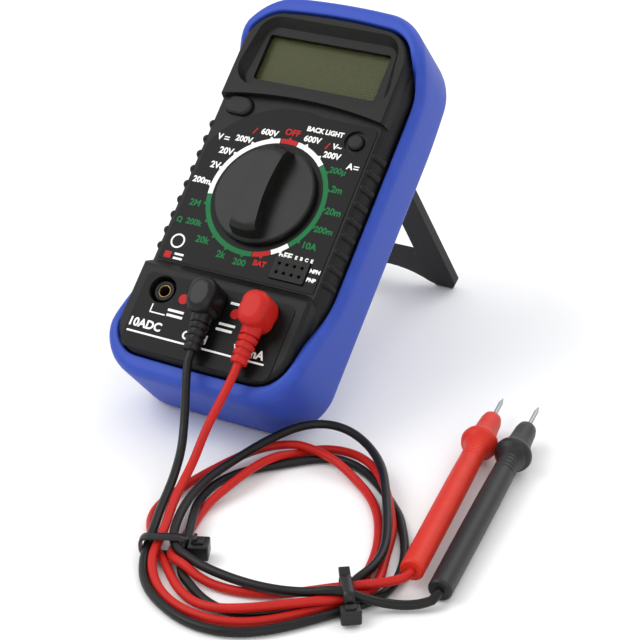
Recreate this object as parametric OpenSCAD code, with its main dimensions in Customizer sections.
/* [Stance] */
// Angle between the back of the meter and the table, in degrees
lean_deg = 42; // [30:1:55]
// Angle the stand opens from the back, in degrees
stand_open_deg = 75; // [60:1:80]

/* [Holster] */
// Width of the rubber holster
holster_w = 76; // [74:1:84]
// Length of the rubber holster
holster_l = 150; // [148:1:160]
// Plan radius of the holster's corners
holster_r = 18; // [14:1:18]
// Thickness of the holster's back wall
holster_back = 2.5; // [2:0.5:3]
// Height of the rim along the two sides, from the back
rim_side_z = 24.5; // [20:0.5:26]
// Height of the rim over both ends, from the back
rim_end_z = 34.3; // [33.5:0.1:34.6]

/* [Case] */
// Width of the case
case_w = 69; // [68:1:69]
// Length of the case
case_l = 139; // [136:1:139]
// Plan radius of the case's corners
case_r = 12; // [10:1:12]
// Height of the dial face above the back of the holster
face_z = 32; // [31.5:0.5:32]
// Height where the two case halves meet
parting_z = 16; // [12:1:18]
// Raise of the display hood above the dial face
hood_h = 2.8; // [2:0.2:3]
// Raise of the jack block above the dial face
block_h = 4; // [3.5:0.5:4]
// Wall thickness of the case
wall = 2.2; // [1.8:0.1:2.4]

/* [Dial] */
// Radius of the selector knob
knob_r = 18.4; // [18:0.2:19.4]
// Number of switch positions
positions = 20; // [20:1:20]

/* [Jacks and plugs] */
// Distance between neighbouring jacks
jack_pitch = 20; // [19:0.5:20]
// Place of the jack row along the case, from the dial centre
jack_y = -42; // [-43:0.5:-41]
// Radius of the bore of a jack, for a 4 mm plug
jack_bore_r = 2.03; // [2.03:0.01:2.05]
// Radius of a plug's pin
plug_pin_r = 1.97; // [1.95:0.01:1.97]
// Diameter of the test lead cords
cord_d = 2.9; // [2.6:0.1:3.6]

/* [Probes] */
// Length of a probe's grip, from its back end to the finger guard
grip_l = 78; // [70:1:80]
// Length of the insulated nose in front of the guard
nose_l = 18; // [16:1:24]
// Length of the bare needle
needle_l = 13; // [8:1:15]
// Radius of the finger guard
guard_r = 6.3; // [6:0.1:6.9]

/* [Hidden] */
$fn = 64;
gap = 0.3;

// The meter is drawn flat on its back, +Y up the face and +Z out of it, with the dial centre on x = y = 0.
mid_y = 1.2;
holster_hw = holster_w / 2;
holster_hl = holster_l / 2;
case_hw = case_w / 2;
case_hl = case_l / 2;
crown_top = 2.5;
crown_end = 0.6;
top_taper = 0.045;
back_fillet = 6;
case_z0 = holster_back + gap;
roof_z = face_z - wall;
hood_z = face_z + hood_h;
block_z = face_z + block_h;
label_t = 0.3;
flat_y = -30;
block_y = -33.8;
hood_y = 36.8;
hood_edge_r = 170;

board_z = 23.5;
board_t = 1.6;
board_top = board_z + board_t;
hub_r = 8.5;
hub_gap = 0.06;
rotor_r = 17.4;
rotor_z = 26;
rotor_t = 3.4;
detent_r = 17.8;
ball_r = 1.3;
ball_at = 16.4;
notch_at = 16.95;
knob_top = face_z + 8.8;

jack_x = [-jack_pitch - 1, -1, jack_pitch - 1];
jack_r = 3;
jack_z0 = 12;
jack_top = block_z - 1.2;
well_r = 4.9;

hold_at = [-24, 31];
light_at = [23.9, 26.2];
socket_at = [19.2, -23.8];
screw_at = [[-20, 65.6], [20, 65.6], [-27, -59.5], [27, -59.5]];
board_screw_at = [[-28.6, 10], [28.6, 10], [-28.6, -33], [28.6, -33]];
battery_mid = [0, 5.25, 13.65];
battery_size = [48.5, 26.5, 17.5];

// Stand: its hinge pin runs across the back, near the top.
hinge_y = 46;
hinge_z = -3.2;
pin_r = 1.5;
stand_t = 3.4;
stand_low = mid_y - (holster_hl - 0.6 - crown_top / 2 + crown_end) + back_fillet;
stand_l = ((hinge_y - stand_low) * sin(lean_deg) + (hinge_z - back_fillet) * cos(lean_deg)
           + back_fillet - stand_t / 2)
          / (cos(stand_open_deg) * sin(lean_deg) + sin(stand_open_deg) * cos(lean_deg));

// Standing height and the middle of the meter's depth put the origin under the meter, on the table.
lift = -(stand_low * sin(lean_deg) + back_fillet * cos(lean_deg) - back_fillet);
depth_mid = -0.2;

module stance()
    translate([0, -depth_mid, lift]) rotate([lean_deg, 0, 0]) children();
module laid()
    translate([0, -depth_mid, 0]) children();
function standing(p) = [p[0], p[1] * cos(lean_deg) - p[2] * sin(lean_deg),
                        p[1] * sin(lean_deg) + p[2] * cos(lean_deg) + lift];

// Outlines and lofts
function arc(c, r, a, b, n) = [for (i = [0 : n]) c + r * [cos(a + (b - a) * i / n),
    sin(a + (b - a) * i / n)]];
function part_line(p, q, n) = [for (i = [1 : n - 1]) p + (q - p) * i / n];
function slab(hw, hl, r, sides = 1, ends = 6, n = 8) = concat(
    arc([hw - r, hl - r], r, 0, 90, n), part_line([hw - r, hl], [r - hw, hl], ends),
    arc([r - hw, hl - r], r, 90, 180, n), part_line([-hw, hl - r], [-hw, r - hl], sides),
    arc([r - hw, r - hl], r, 180, 270, n), part_line([r - hw, -hl], [hw - r, -hl], ends),
    arc([hw - r, r - hl], r, 270, 360, n), part_line([hw, r - hl], [hw, hl - r], sides));
function crowned(p, hw, hl) =
    [p[0] * (1 - top_taper * smooth((p[1] - 35) / 40)),
     p[1] + mid_y + (1 - pow(p[0] / hw, 2)) * p[1] / hl * (p[1] > 0 ? crown_top : crown_end)];
function rounded(hw, hl, r, sides = 1) =
    [for (p = slab(hw, hl - crown_top / 2, r, sides)) crowned(p, hw, hl)];
function case_line(inset) = rounded(case_hw - inset, case_hl - inset - 0.6, case_r - inset / 2);
function at_z(line, z) = [for (p = line) [p[0], p[1], z]];

module loft(rings) {
    n = len(rings[0]);
    last = len(rings) - 1;
    walls = [for (k = [0 : last - 1], i = [0 : n - 1])
             each [[k * n + i, k * n + (i + 1) % n, (k + 1) * n + (i + 1) % n],
                   [k * n + i, (k + 1) * n + (i + 1) % n, (k + 1) * n + i]]];
    floor_face = [for (i = [n - 1 : -1 : 0]) (i + 3) % n];
    roof_face = [for (i = [0 : n - 1]) last * n + (i + 3) % n];
    polyhedron(points = [for (ring = rings) each ring],
               faces = [for (f = concat([floor_face, roof_face],
                   walls)) [for (i = [len(f) - 1 : -1 : 0]) f[i]]],
               convexity = 8);
}

module plate(size, r, z0, z1)
    translate([0, 0, z0]) linear_extrude(z1 - z0) polygon(slab(size[0] / 2, size[1] / 2, r, 1, 1));

// Round tube along a smooth route through hand-set points
function catmull(a, b, c, d, t) =
    0.5 * (2 * b + (c - a) * t + (2 * a - 5 * b + 4 * c - d) * t * t + (3 * b - a - 3 * c + d) * t * t * t);
function open_route(p, steps) = concat(
    [for (k = [0 : len(p) - 2], i = [0 : steps - 1])
     catmull(p[max(k - 1, 0)], p[k], p[k + 1], p[min(k + 2, len(p) - 1)], i / steps)], [p[len(p) - 1]]);
function closed_route(p, steps) =
    [for (k = [0 : len(p) - 1], i = [0 : steps - 1])
     catmull(p[(k + len(p) - 1) % len(p)], p[k], p[(k + 1) % len(p)], p[(k + 2) % len(p)], i / steps)];
function unit(v) = v / norm(v);
function heading(p, k) = unit(p[min(k + 1, len(p) - 1)] - p[max(k - 1, 0)]);
module tube(route, d, sides = 8) {
    rings = [for (k = [0 : len(route) - 1])
             let (w = k == 0 ? unit(route[1] - route[0]) : heading(route, k),
                  u = unit(cross(w, abs(w[2]) > 0.9 ? [1, 0, 0] : [0, 0, 1])),
                  v = cross(w, u))
             [for (i = [0 : sides - 1]) route[k] + d / 2 * (cos(360 * i / sides) * u + sin(360 * i / sides) * v)]];
    n = sides;
    last = len(rings) - 1;
    polyhedron(points = [for (ring = rings) each ring],
               faces = concat([[for (i = [0 : n - 1]) i]], [[for (i = [n - 1 : -1 : 0]) last * n + i]],
                              [for (k = [0 : last - 1], i = [0 : n - 1])
                               each [[k * n + i, (k + 1) * n + (i + 1) % n, k * n + (i + 1) % n],
                                     [k * n + i, (k + 1) * n + i, (k + 1) * n + (i + 1) % n]]]),
               convexity = 6);
}

// ---- Holster ----
// The rim is low along the sides and climbs over the case at both ends.
rim_top_from = 47;
rim_top_to = 65;
rim_end_from = -26;
rim_end_to = -60;
function smooth(t) = let (c = min(max(t, 0), 1)) c * c * (3 - 2 * c);
function climb(y) = y > 0 ? smooth((y - rim_top_from) / (rim_top_to - rim_top_from))
                          : smooth((y - rim_end_from) / (rim_end_to - rim_end_from));
function rim_z(y) = rim_side_z + climb(y) * (rim_end_z - rim_side_z);
function holster_line(inset) =
    rounded(holster_hw - inset, holster_hl - inset - 0.6, holster_r - inset * 0.7, 14);
function inner_line(inset) = rounded(case_hw - inset, case_hl - inset - 0.6, case_r - inset / 2, 14);
function outer_ring(inset, drop) =
    let (line = holster_line(inset), base = holster_line(0))
    [for (i = [0 : len(line) - 1]) [line[i][0], line[i][1], rim_z(base[i][1]) - drop]];
function wall_inset(z) = min(max((z - 25) * 0.2, 0), 1.1) - gap;
function inner_ring(drop, spread) =
    let (base = holster_line(0), n = len(base))
    [for (i = [0 : n - 1])
     let (z = rim_z(base[i][1]) - drop, line = inner_line(wall_inset(z) - spread)) [line[i][0],
         line[i][1], z]];
// Under the lip the wall keeps off the case at this height, or just under the rim where that is lower
function lip_ring(level, drop) =
    let (base = holster_line(0), n = len(base))
    [for (i = [0 : n - 1])
     let (z = min(level, rim_z(base[i][1]) - drop), line = inner_line(wall_inset(z))) [line[i][0],
         line[i][1], z]];

module holster_shell()
    loft(concat(
        [for (a = [0 : 22.5 : 90]) at_z(holster_line(back_fillet * (1 - sin(a))),
            back_fillet * (1 - cos(a)))],
        [outer_ring(0, 4), outer_ring(0.5, 2), outer_ring(1.5, 0.6), outer_ring(2.2, 0.1)],
        [inner_ring(0, 0.5), inner_ring(0.4, 0), inner_ring(3, 0), lip_ring(28, 3.4), lip_ring(25, 3.8)],
        [at_z(inner_line(-gap), 12), at_z(inner_line(-gap), holster_back)]));

lug_x = 17.4;
lug_t = 5;
module holster()
    color([0.1, 0.22, 0.66]) stance() holster_shell();

// Two lugs on the holster's back carry the stand's pin
module hinge_bracket()
    color([0.1, 0.22, 0.66]) stance() difference() {
        union() {
            for (side = [-1, 1]) translate([side * (lug_x + lug_t / 2), hinge_y, 0]) {
                translate([0, 0, hinge_z]) rotate([0, 90, 0])
                    cylinder(r = -hinge_z, h = lug_t, center = true);
                translate([0, 0, hinge_z / 2]) cube([lug_t, -2 * hinge_z, -hinge_z], center = true);
            }
        }
        translate([0, hinge_y, hinge_z]) rotate([0, 90, 0]) cylinder(r = pin_r, h = 60, center = true);
    }

module stand_pin()
    color("silver") stance() translate([0, hinge_y, hinge_z]) rotate([0, 90, 0])
        cylinder(r = pin_r, h = 2 * (lug_x + lug_t), center = true);

// ---- Case ----
boss_r = 2.8;
screw_r = 1.45;
module rear_case()
    color([0.1, 0.1, 0.1]) stance() difference() {
        union() {
            difference() {
                loft([at_z(case_line(1.4), case_z0), at_z(case_line(0.4), case_z0 + 0.5),
                      at_z(case_line(0), case_z0 + 1.6), at_z(case_line(0), parting_z)]);
                translate([0, 0, case_z0 + 2]) linear_extrude(20) polygon(case_line(wall));
            }
            for (p = screw_at) translate([p[0], p[1], case_z0 + 1])
                cylinder(r = boss_r + 0.2, h = parting_z - case_z0 - 1);
        }
        for (p = screw_at) {
            translate([p[0], p[1], 0]) cylinder(r = screw_r + 0.05, h = 30);
            translate([p[0], p[1], 0]) cylinder(r = 2.8, h = case_z0 + 2.8);
        }
    }

module hood()
    difference() {
        intersection() {
            loft([at_z(case_line(1), 29), at_z(case_line(1.2), 31), at_z(case_line(1.7), hood_z - 1.4),
                  at_z(case_line(2.1), hood_z - 0.4), at_z(case_line(2.7), hood_z)]);
            translate([-50, 30, 20]) cube([100, 60, 30]);
        }
        translate([0, hood_y - hood_edge_r, 0]) cylinder(r = hood_edge_r, h = 60, $fn = 128);
    }

module jack_block()
    intersection() {
        loft([at_z(case_line(1), 29), at_z(case_line(1.2), 31), at_z(case_line(1.5), block_z - 1.4),
              at_z(case_line(2), block_z - 0.4), at_z(case_line(2.7), block_z)]);
        rotate([90, 0, 90]) linear_extrude(100, center = true)
            polygon([[-90, 20], [-30.5, 20], [-30.5, face_z], [block_y + 0.6, block_z - 0.8],
                     [block_y, block_z - 0.2], [block_y - 0.8, block_z], [-90, block_z]]);
        translate([0, -65.5, 0]) linear_extrude(60) polygon(slab(33.5, 35, 6, 1, 1));
    }

// Grip ribs along both flanks of the waist
rib_pitch = 6;
rib_r = 1.6;
module flank_ribs()
    for (side = [-1, 1], i = [0 : 8])
        translate([side * 33.4, -25 + i * rib_pitch, 26]) rotate([0, side * -17, 0]) {
            cylinder(r = rib_r, h = 4.6);
            translate([0, 0, 4.6]) sphere(r = rib_r, $fn = 32);
        }

function lip_line(top_hw, low_hw, low, high, r) =
    concat(arc([top_hw - r, high - r], r, 0, 90, 5), arc([r - top_hw, high - r], r, 90, 180, 5),
           arc([r - low_hw, low + r], r, 180, 270, 5), arc([low_hw - r, low + r], r, 270, 360, 5));
display_mid = 51.6;
display_hw = 24;
display_hl = 9;

module case_openings() {
    translate([0, 0, 20]) cylinder(r = hub_r + hub_gap, h = 30);
    for (x = jack_x) {
        translate([x, jack_y, 31]) cylinder(r = well_r, h = 10);
        translate([x, jack_y, 20]) cylinder(r = jack_r + 0.05, h = 20);
    }
    loft([at_z(lip_line(25.6, 27.2, 39.8, 63.8, 4), face_z - 0.4), at_z(lip_line(28, 30, 38.7, 66.8,
        8), hood_z + 0.2)]);
    translate([0, display_mid, 0]) plate([2 * display_hw, 2 * display_hl], 1, 20, 40);
    translate(hold_at) plate([10.9, 7.2], 3.5, 20, 40);
    translate([light_at[0], light_at[1], 20]) cylinder(r = 3.1, h = 20);
    translate([light_at[0], light_at[1], face_z - 0.6]) cylinder(r = 4, h = 5);
    translate(socket_at) plate([13.3, 8.3], 0.6, 20, 40);
    for (p = screw_at) translate([p[0], p[1], 10]) cylinder(r = screw_r, h = 16);
    for (p = board_screw_at) translate([p[0], p[1], 20]) cylinder(r = 0.9, h = 8.6);
}

module detent_ring()
    difference() {
        translate([0, 0, rotor_z]) cylinder(r = 20.6, h = roof_z - rotor_z + 0.1);
        translate([0, 0, rotor_z - 1]) cylinder(r = detent_r, h = 10);
        for (i = [0 : positions - 1])
            rotate(i * 360 / positions) translate([notch_at, 0, rotor_z - 1]) cylinder(r = 1.45, h = 10);
    }

module front_case()
    color([0.09, 0.09, 0.09]) stance() difference() {
        union() {
            difference() {
                union() {
                    loft([at_z(case_line(0), parting_z), at_z(case_line(0), 25), at_z(case_line(0.5), 28),
                          at_z(case_line(1.5), 30.5), at_z(case_line(2.2), 31.6), at_z(case_line(2.9),
                              face_z)]);
                    hood();
                    jack_block();
                    flank_ribs();
                }
                translate([0, 0, parting_z - 1]) linear_extrude(roof_z - parting_z + 1)
                    polygon(case_line(wall + 0.6));
                translate([0, -50, 0]) plate([56, 24], 3, 29, block_z - wall);
            }
            for (x = jack_x) translate([x, jack_y, roof_z - 1]) cylinder(r = 6.4, h = block_z - roof_z);
            for (p = screw_at) translate([p[0], p[1], parting_z + 0.2])
                cylinder(r = boss_r, h = roof_z - parting_z);
            for (p = board_screw_at) translate([p[0], p[1], board_top])
                cylinder(r = 2, h = roof_z - board_top + 0.2);
            detent_ring();
        }
        case_openings();
    }

module case_screws()
    color("silver") stance() for (p = screw_at) translate([p[0], p[1], 0]) difference() {
        union() {
            translate([0, 0, case_z0 + 0.5]) cylinder(r1 = 2.3, r2 = 2.7, h = 2.3);
            translate([0, 0, case_z0 + 2.8]) cylinder(r = screw_r, h = 19);
        }
        for (a = [0, 90]) rotate(a) translate([-1.6, -0.35, case_z0]) cube([3.2, 0.7, 1.8]);
    }

// The dial label follows a circle round the dial on the left and fills the corner on the right.
label_hw = 30.4;
label_arc = 33.8;
module dial_label()
    color([0.05, 0.05, 0.05]) stance() difference() {
        translate([0, 0, face_z]) linear_extrude(label_t) polygon(concat(
            [[label_hw, flat_y], [label_hw, 30.5]], arc([label_hw - 2, 30.5], 2, 0, 90, 4),
            arc([0, 0], label_arc, 75, 153, 14), [[-label_hw, flat_y]]));
        cylinder(r = hub_r + 1, h = 60);
        translate([light_at[0], light_at[1], 0]) cylinder(r = 4.2, h = 60);
        translate(socket_at) plate([13.5, 8.5], 0.6, 20, 60);
    }

module jack_label()
    color([0.05, 0.05, 0.05]) stance() difference() {
        translate([0, -50.4, 0]) plate([58, 27.6], 3, block_z, block_z + label_t);
        for (x = jack_x) translate([x, jack_y, 0]) cylinder(r = well_r + 0.2, h = 60);
    }

// ---- Display ----
module display_window()
    color([0.8, 0.85, 0.8, 0.35]) stance() translate([0, display_mid, 0]) plate([52, 21.6], 1, 29, roof_z);

module display_glass()
    color([0.45, 0.5, 0.32]) stance() translate([0, display_mid, 0]) {
        plate([50, 20.6], 0.5, 27.9, 28.95);
        translate([0, 1, 0]) plate([50, 18.4], 0.5, 26.9, 27.85);
    }

module display_frame()
    color([0.75, 0.75, 0.72]) stance() translate([0, display_mid, 0]) difference() {
        plate([55.4, 22.2], 1, board_top, 28.9);
        plate([50.2, 20.8], 0.6, 20, 40);
    }

module zebra_strip()
    color([0.85, 0.55, 0.6]) stance() translate([-23, display_mid - 10.2, board_top])
        cube([46, 1.8, 27.85 - board_top]);

module backlight_panel()
    color([0.9, 0.92, 0.88]) stance() translate([0, display_mid + 1, 0])
        plate([46, 17], 0.5, board_top + 0.2, 26.8);

// ---- Board and what is on it ----
module circuit_board()
    color([0.1, 0.4, 0.2]) stance() difference() {
        translate([0, 0.4, 0]) plate([60.6, 124], 8, board_z, board_top);
        for (x = jack_x) translate([x, jack_y, 0]) cylinder(r = jack_r + 0.05, h = 60);
        for (p = screw_at) translate([p[0], p[1], 0]) cylinder(r = boss_r + 0.5, h = 60);
        for (p = board_screw_at) translate([p[0], p[1], 0]) cylinder(r = 1.1, h = 60);
    }

module board_screws()
    color("silver") stance() for (p = board_screw_at) translate([p[0], p[1], 0]) difference() {
        union() {
            translate([0, 0, board_z - 1.5]) cylinder(r = 1.9, h = 1.5);
            translate([0, 0, board_z]) cylinder(r = 0.9, h = 4.8);
        }
        for (a = [0, 90]) rotate(a) translate([-1.2, -0.25, board_z - 2]) cube([2.4, 0.5, 1.2]);
    }

module board_parts()
    color([0.15, 0.15, 0.17]) stance() {
        translate([-14, 33, board_z - 1.3]) cylinder(r1 = 4.6, r2 = 6.5, h = 1.3);
        translate([12, 34, board_z - 7.5]) cylinder(r = 2.5, h = 7.5);
        translate([20, 34, board_z - 7.5]) cylinder(r = 2.5, h = 7.5);
        translate([-3, 46, board_z - 4]) cube([6, 6, 4]);
        translate([8, 46, board_z - 4]) cube([6, 6, 4]);
        for (i = [0 : 5]) translate([-26 + i * 3.4, 50, board_z - 1]) cube([1.6, 3.2, 1]);
        for (i = [0 : 3]) translate([6 + i * 3.4, -34, board_z - 1]) cube([1.6, 3.2, 1]);
    }

module jack(x)
    color([0.8, 0.65, 0.3]) stance() translate([x, jack_y, 0]) difference() {
        union() {
            translate([0, 0, jack_z0]) cylinder(r = jack_r, h = jack_top - jack_z0);
            translate([0, 0, board_top]) cylinder(r = 4.2, h = 1);
        }
        translate([0, 0, jack_z0 - 1]) cylinder(r = jack_bore_r, h = 60);
    }
module jack_10a() jack(jack_x[0]);
module jack_com() jack(jack_x[1]);
module jack_volt() jack(jack_x[2]);

module shunt_wire()
    color([0.75, 0.6, 0.4]) stance() translate([(jack_x[0] + jack_x[1]) / 2, -50, board_z])
        rotate([-90, 0, 0])
        rotate_extrude(angle = 180) translate([jack_pitch / 2, 0]) circle(r = 0.8);

fuse_mid = [-12, -20, 19.8];
module fuse()
    color([0.85, 0.85, 0.8]) stance() translate(fuse_mid) rotate([0, 90, 0]) {
        cylinder(r = 2.3, h = 10, center = true);
        for (side = [-1, 1]) translate([0, 0, side * 7.5]) cylinder(r = 2.5, h = 5, center = true);
    }

module fuse_clips()
    color([0.8, 0.8, 0.75]) stance() for (side = [-1, 1]) translate(fuse_mid + [side * 7.5, 0, 0])
        difference() {
        union() {
            rotate([0, 90, 0]) cylinder(r = 3, h = 4, center = true);
            translate([-2, -1.5, 2]) cube([4, 3, board_z - fuse_mid[2] - 2]);
        }
        rotate([0, 90, 0]) cylinder(r = 2.52, h = 6, center = true);
        translate([-3, -2, -4]) cube([6, 4, 3]);
    }

module buzzer()
    color([0.12, 0.12, 0.12]) stance() translate([18, -20, board_z - 4.6]) difference() {
        cylinder(r = 6, h = 4.6);
        translate([0, 0, -1]) cylinder(r = 0.8, h = 3);
    }

socket_pitch = 2.9;
module transistor_socket()
    color([0.06, 0.06, 0.06]) stance() translate(socket_at) difference() {
        plate([13, 8], 0.6, board_top, face_z + 1);
        for (i = [-1.5 : 1 : 1.5], j = [-0.5, 0.5])
            translate([i * socket_pitch, j * 3.2, face_z - 3]) cylinder(r = 0.6, h = 6);
    }

module battery_9v()
    color([0.2, 0.25, 0.3]) stance() translate(battery_mid) {
        translate([0, 0, -battery_size[2] / 2])
            plate([battery_size[0], battery_size[1]], 2.5, 0, battery_size[2]);
        for (side = [-1, 1])
            translate([battery_size[0] / 2, side * 6.35, 0]) rotate([0, 90, 0])
                cylinder(r = side > 0 ? 2.9 : 3.8, h = 2.6);
    }

module battery_snap()
    color([0.08, 0.08, 0.08]) stance() translate([battery_size[0] / 2 + 2.6, battery_mid[1], battery_mid[2]])
        rotate([0, 90, 0]) plate([13, 24], 2, 0, 2.4);

module battery_leads()
    color([0.7, 0.1, 0.1]) stance() for (side = [-1, 1])
        tube(concat(open_route([[28.1, battery_mid[1] - 12.1, 14 + side], [28.1, -10, 14.5 + side],
                                [27.5, -13 + side, 17], [25 + side, -14 + side, 20],
                                [24 + side, -14 + side, 22]], 2),
                    [[24 + side, -14 + side, board_z]]), 1.2, 6);

// ---- Selector: knob, rotor, contacts and detents turn together ----
module knob_side(side)
    translate([side * (3.4 + 67), 0, face_z + 3]) cylinder(r = 67, h = 30, $fn = 128);
module selector_knob()
    color([0.12, 0.12, 0.12]) stance() {
        difference() {
            rotate_extrude($fn = 96) polygon([
                [0, face_z + 0.7], [knob_r, face_z + 0.7], [knob_r, face_z + 2.2], [knob_r - 0.3, face_z + 2.7],
                [knob_r - 0.8, face_z + 3], [knob_r - 1.4, face_z + 3.2], [knob_r - 2.2, knob_top - 1.6],
                [knob_r - 3.2, knob_top - 0.5], [knob_r - 5, knob_top], [0, knob_top]]);
            knob_side(1);
            knob_side(-1);
        }
        translate([0, 0, rotor_z - 0.2]) cylinder(r = hub_r, h = face_z + 1 - rotor_z);
    }

pocket_r = 1.35;
module switch_rotor()
    color([0.85, 0.85, 0.82]) stance() difference() {
        translate([0, 0, rotor_z]) cylinder(r = rotor_r, h = rotor_t);
        translate([0, 0, rotor_z - 1]) cylinder(r = hub_r, h = 10);
        for (a = [0, 180]) rotate(a) translate([11.5, 0, rotor_z + rotor_t / 2]) rotate([0, 90, 0])
            cylinder(r = pocket_r, h = 10);
    }

module wiper_contacts()
    color([0.85, 0.7, 0.3]) stance() for (a = [60, 150, 240]) rotate(a) translate([12.5, 0, 0]) {
        translate([-0.6, -3.6, rotor_z - 0.2]) cube([1.2, 7.2, 0.2]);
        for (side = [-1, 1]) translate([-0.6, side * 3 - 0.6, board_top + 0.05])
            cube([1.2, 1.2, rotor_z - 0.2 - board_top - 0.05]);
    }

module detent_springs()
    color("silver") stance() for (a = [0, 180]) rotate(a)
        translate([11.5, 0, rotor_z + rotor_t / 2]) rotate([0, 90, 0]) difference() {
            cylinder(r = 1.2, h = ball_at - ball_r - 11.5);
            translate([0, 0, -1]) cylinder(r = 0.8, h = 10);
        }

module detent_balls()
    color("silver") stance() for (a = [0, 180]) rotate(a)
        translate([ball_at, 0, rotor_z + rotor_t / 2]) sphere(r = ball_r, $fn = 32);

// ---- Push buttons ----
button_top = face_z + 1.7;
flange_z = roof_z - 0.05;
module hold_button()
    color([0.13, 0.13, 0.13]) stance() translate([hold_at[0], hold_at[1], 0]) {
        plate([10.5, 6.8], 3.39, flange_z - 0.1, button_top - 0.6);
        loft([at_z(slab(5.25, 3.4, 3.39, 1, 1), button_top - 0.7), at_z(slab(5, 3.15, 3.1, 1, 1),
            button_top - 0.3),
              at_z(slab(4.4, 2.6, 2.5, 1, 1), button_top)]);
        plate([12.1, 8.4], 4.19, flange_z - 1, flange_z);
    }
module hold_pad()
    color([0.3, 0.3, 0.32]) stance() translate([hold_at[0], hold_at[1], 0])
        plate([9, 5.6], 2.7, board_top, flange_z - 1.95);

module light_button()
    color([0.13, 0.13, 0.13]) stance() translate([light_at[0], light_at[1], 0]) {
        rotate_extrude() polygon([[0, flange_z - 1], [3.9, flange_z - 1], [3.9, flange_z], [2.9, flange_z],
                                  [2.9, face_z + 0.4], [2.6, face_z + 0.8], [2.2, face_z + 1], [0,
                                      face_z + 1]]);
    }
module light_pad()
    color([0.3, 0.3, 0.32]) stance() translate([light_at[0], light_at[1], board_top])
        cylinder(r = 2.8, h = flange_z - 1.95 - board_top);

// ---- Tilt stand: drawn folded, down the back, then opened about its pin ----
foot_hw = 27.5;
module stand_outline()
    difference() {
        polygon(concat([[-15.5, 0], [15.5, 0]], part_line([15.5, 0], [foot_hw, -stand_l + 3], 2),
                       arc([foot_hw - 3, -stand_l + 3], 3, 0, -90, 4), [[18.5, -stand_l]],
                       arc([0, -stand_l - 20], 26.5, 52, 128, 10), [[-18.5, -stand_l]],
                       arc([3 - foot_hw, -stand_l + 3], 3, -90, -180, 4)));
        polygon(concat(arc([12.2, -64], 1.8, 0, -90, 3), arc([-12.2, -64], 1.8, -90, -180, 3),
                       arc([-5.5, -18], 2, 180, 90, 3), arc([5.5, -18], 2, 90, 0, 3)));
    }
module tilt_stand()
    color([0.14, 0.14, 0.14]) stance() translate([0, hinge_y, hinge_z]) rotate([stand_open_deg, 0, 0])
        difference() {
        union() {
            translate([0, 0, -stand_t / 2]) linear_extrude(stand_t) stand_outline();
            rotate([0, 90, 0]) cylinder(r = 3, h = 2 * lug_x - 0.8, center = true);
            for (side = [-1, 1])
                translate([side * 22, -stand_l, 0]) rotate([0, 90, 0])
                    cylinder(r = stand_t / 2, h = 7, center = true);
            rotate([-stand_open_deg, 0, 0]) translate([-8, 0, -2.4]) cube([16, 6, 2.4 - gap - hinge_z]);
        }
        rotate([0, 90, 0]) cylinder(r = pin_r + 0.05, h = 60, center = true);
    }

// ---- Plugs ----
neck_z = block_z + 4.6;
head_top = block_z + 11.6;
relief_y = -19.5;
plug_low = block_z + 0.7;
black_turn = 6;
red_turn = 0;
function head_line(inset) =
    [for (p = slab(4.9 - inset, 6.2 - inset, 4.2 - inset * 0.7, 1, 1)) [p[0], p[1] - 1.2]];
module plug(x, turn)
    stance() translate([x, jack_y, 0]) rotate(turn) difference() {
        union() {
            loft([at_z(head_line(0.3), plug_low), at_z(head_line(0), plug_low + 0.6), at_z(head_line(0), head_top - 2.2),
                  at_z(head_line(0.5), head_top - 1), at_z(head_line(1.3), head_top - 0.3),
                  at_z(head_line(2.2), head_top)]);
            translate([0, 0, 31.4]) cylinder(r = 4.5, h = 6);
            difference() {
                rotate([90, 0, 0]) translate([0, neck_z, 0]) cylinder(r1 = 4.5, r2 = 3.3, h = 9.6);
                translate([-10, -12, plug_low - 5]) cube([20, 20, 5]);
            }
            translate([0, 0, neck_z]) rotate([90, 0, 0]) cylinder(r = 2.5, h = -relief_y - 0.4);
            for (i = [0 : 3])
                translate([0, -10.4 - i * 2.5, neck_z]) rotate([90, 0, 0])
                    cylinder(r1 = 3.5 - i * 0.15, r2 = 3.2 - i * 0.15, h = 1.5);
            translate([0, relief_y + 1.6, neck_z]) rotate([90, 0, 0]) cylinder(r1 = 2.5, r2 = 2, h = 1.6);
        }
        translate([0, 0, 30]) cylinder(r = 3.25, h = plug_low - 30);
        translate([0, 0, 30]) cylinder(r = plug_pin_r, h = block_z + 6 - 30);
    }
module plug_pin(x)
    color("silver") stance() translate([x, jack_y, 17]) cylinder(r = plug_pin_r, h = block_z + 6 - 17);
module black_plug() color([0.1, 0.1, 0.1]) plug(jack_x[1], black_turn);
module red_plug() color([0.85, 0.1, 0.08]) plug(jack_x[2], red_turn);
module black_plug_pin() plug_pin(jack_x[1]);
module red_plug_pin() plug_pin(jack_x[2]);

// ---- Test leads: from the plugs to the coil, and from the coil to the probes, on the table ----
function lead_point(x, turn, d) = standing([x + d * sin(turn), jack_y - d * cos(turn), neck_z]);
black_run = [[3, -79.7, 28.5], [5.5, -84.2, 23], [8, -89, 17.5], [10.9, -95.2, 13], [13, -101.2, 10.5],
             [15.4, -108.3, 8.6]];
red_run = [[18.5, -82.7, 26.5], [17.2, -88.2, 21], [16.8, -92.5, 16.5], [17.2, -96.8, 12.5], [17.9,
    -102.2, 10],
           [19.1, -108.8, 8.6]];
black_tail = [[97.9, -129.1, 3], [101.4, -126.8, 2], [105.3, -124.9, 1.6], [108.2, -123.7, 1.6],
              [110.8, -122.2, 2], [112.8, -119.9, 2.8]];
red_tail = [[97.8, -121.8, 5], [99.4, -120.7, 5.4], [101.2, -119.5, 6], [102.6, -117.9, 6.4]];
black_back = [113.4, -115.4, 3.9];
red_back = [103.2, -113.6, 6.6];
black_heading = 8.6;
red_heading = 10.5;

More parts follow.
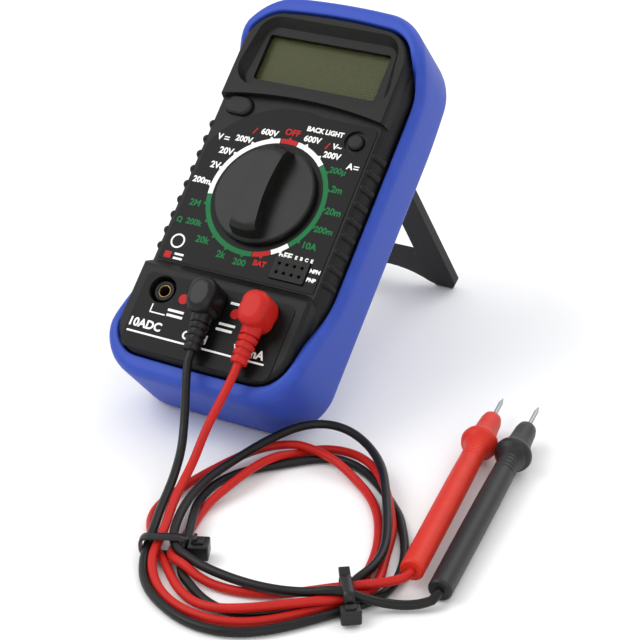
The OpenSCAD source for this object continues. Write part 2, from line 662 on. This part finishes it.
function tilt_up(at) = asin((guard_r - at[2]) / grip_l);
function behind(at, heading, d) =
    at - d * [-sin(heading) * cos(tilt_up(at)), cos(heading) * cos(tilt_up(at)), sin(tilt_up(at))];
module lead_run(x, turn, run)
    tube(concat([lead_point(x, turn, 0.02 - relief_y)],
                open_route(concat([lead_point(x, turn, 1.5 - relief_y), lead_point(x, turn, 4 - relief_y)],
                                  run), 2)), cord_d);
module lead_tail(tail, back, heading)
    tube(concat(tail, [behind(back, heading, 1.5), behind(back, heading, 0.02)]), cord_d);

module black_lead()
    color([0.08, 0.08, 0.08]) laid() {
        lead_run(jack_x[1], black_turn, black_run);
        lead_tail(black_tail, black_back, black_heading);
    }
module red_lead()
    color([0.85, 0.1, 0.08]) laid() {
        lead_run(jack_x[2], red_turn, red_run);
        lead_tail(red_tail, red_back, red_heading);
    }

// The coil's turns lie in this band: x, y and half width, round the coil from the left tie.
coil_band = [[29, -134, 6.5], [36, -143.7, 7.5], [48, -150, 10], [63, -150.7, 10.5], [76, -145.2, 8.5], [85, -137.9, 6],
             [91, -130.5, 5.3], [93, -120.2, 5.2], [91.5, -110.2, 5.2], [88.3, -98.2, 5.8], [81.3, -86.4, 6],
             [70.5, -74.5, 6], [60, -64.7, 6.3], [51.5, -60, 6.3], [43, -62.5, 6], [36, -70, 6], [28.5, -78.2, 6.3],
             [22.5, -90.2, 7.2], [20.3, -102.2, 7.5], [21.3, -114.2, 8], [25, -125.2, 7.5]];
coil_h = 8;
function band_side(side) =
    let (p = closed_route(coil_band, 3), n = len(p))
    [for (k = [0 : n - 1])
     let (d = unit([p[(k + 1) % n][0] - p[(k + n - 1) % n][0], p[(k + 1) % n][1] - p[(k + n - 1) % n][1]]))
     [p[k][0] + side * p[k][2] * d[1], p[k][1] - side * p[k][2] * d[0]]];
module lead_coil()
    color([0.5, 0.1, 0.1]) laid() linear_extrude(coil_h) difference() {
        polygon(band_side(1));
        polygon(band_side(-1));
    }

module cable_tie(at, turn, half_w, head)
    color([0.07, 0.07, 0.07]) laid() translate([at[0], at[1], 0]) rotate(turn) {
        difference() {
            translate([-half_w, -2.3, 0]) cube([2 * half_w, 4.6, coil_h + 1]);
            translate([1 - half_w, -5, 1]) cube([2 * half_w - 2, 10, coil_h - 0.9]);
        }
        translate([half_w, -head[1] / 2, head[2]]) cube([head[0], head[1], head[3]]);
    }
module cable_tie_left() cable_tie([29, -134], 25, 7.7, [7, 8, 1, 6]);
module cable_tie_right() cable_tie([91, -130.8], -54, 6.4, [4.6, 7, 1, 5]);

// ---- Probes ----
needle_r = 0.75;
module probe_place(at, heading)
    laid() translate(at) rotate([0, 0, heading]) rotate([tilt_up(at), 0, 0]) rotate([-90, 0, 0]) children();
module probe_grip(at, heading)
    probe_place(at, heading) difference() {
        union() {
            rotate_extrude() polygon([
                [0, 0], [3.2, 0], [3.8, 0.7], [3.85, 10], [3.9, 30], [3.9, 50], [3.8, 62], [3.7, 68],
                    [3.8, 73],
                [4.8, 75.5], [guard_r - 0.3, grip_l - 1.2], [guard_r, grip_l], [guard_r - 0.3, grip_l + 1.2],
                [5, grip_l + 2.4], [4.4, grip_l + 4], [3.9, grip_l + 8], [3.6, grip_l + nose_l - 4],
                [3.2, grip_l + nose_l - 1.8], [2.2, grip_l + nose_l - 0.5], [1.2, grip_l + nose_l],
                [0, grip_l + nose_l]]);
        }
        translate([0, 0, grip_l]) cylinder(r = needle_r, h = 60);
        for (i = [0 : 3])
            translate([0, 0, 66 + i * 1.9]) rotate_extrude() translate([4.1, 0]) circle(r = 0.55, $fn = 16);
    }
module probe_needle(at, heading)
    color("silver") probe_place(at, heading) {
        translate([0, 0, grip_l]) cylinder(r = needle_r, h = nose_l + needle_l - 3);
        translate([0, 0, grip_l + nose_l + needle_l - 3]) cylinder(r1 = needle_r, r2 = 0.2, h = 3);
    }
module black_probe_grip() color([0.1, 0.1, 0.1]) probe_grip(black_back, black_heading);
module red_probe_grip() color([0.85, 0.12, 0.08]) probe_grip(red_back, red_heading);
module black_probe_needle() probe_needle(black_back, black_heading);
module red_probe_needle() probe_needle(red_back, red_heading);

holster();
hinge_bracket();
stand_pin();
rear_case();
front_case();
case_screws();
dial_label();
jack_label();
display_window();
display_glass();
display_frame();
zebra_strip();
backlight_panel();
circuit_board();
board_screws();
board_parts();
jack_10a();
jack_com();
jack_volt();
shunt_wire();
fuse();
fuse_clips();
buzzer();
transistor_socket();
battery_9v();
battery_snap();
battery_leads();
selector_knob();
switch_rotor();
wiper_contacts();
detent_springs();
detent_balls();
hold_button();
hold_pad();
light_button();
light_pad();
tilt_stand();
black_plug();
black_plug_pin();
red_plug();
red_plug_pin();
black_lead();
red_lead();
lead_coil();
cable_tie_left();
cable_tie_right();
black_probe_grip();
black_probe_needle();
red_probe_grip();
red_probe_needle();
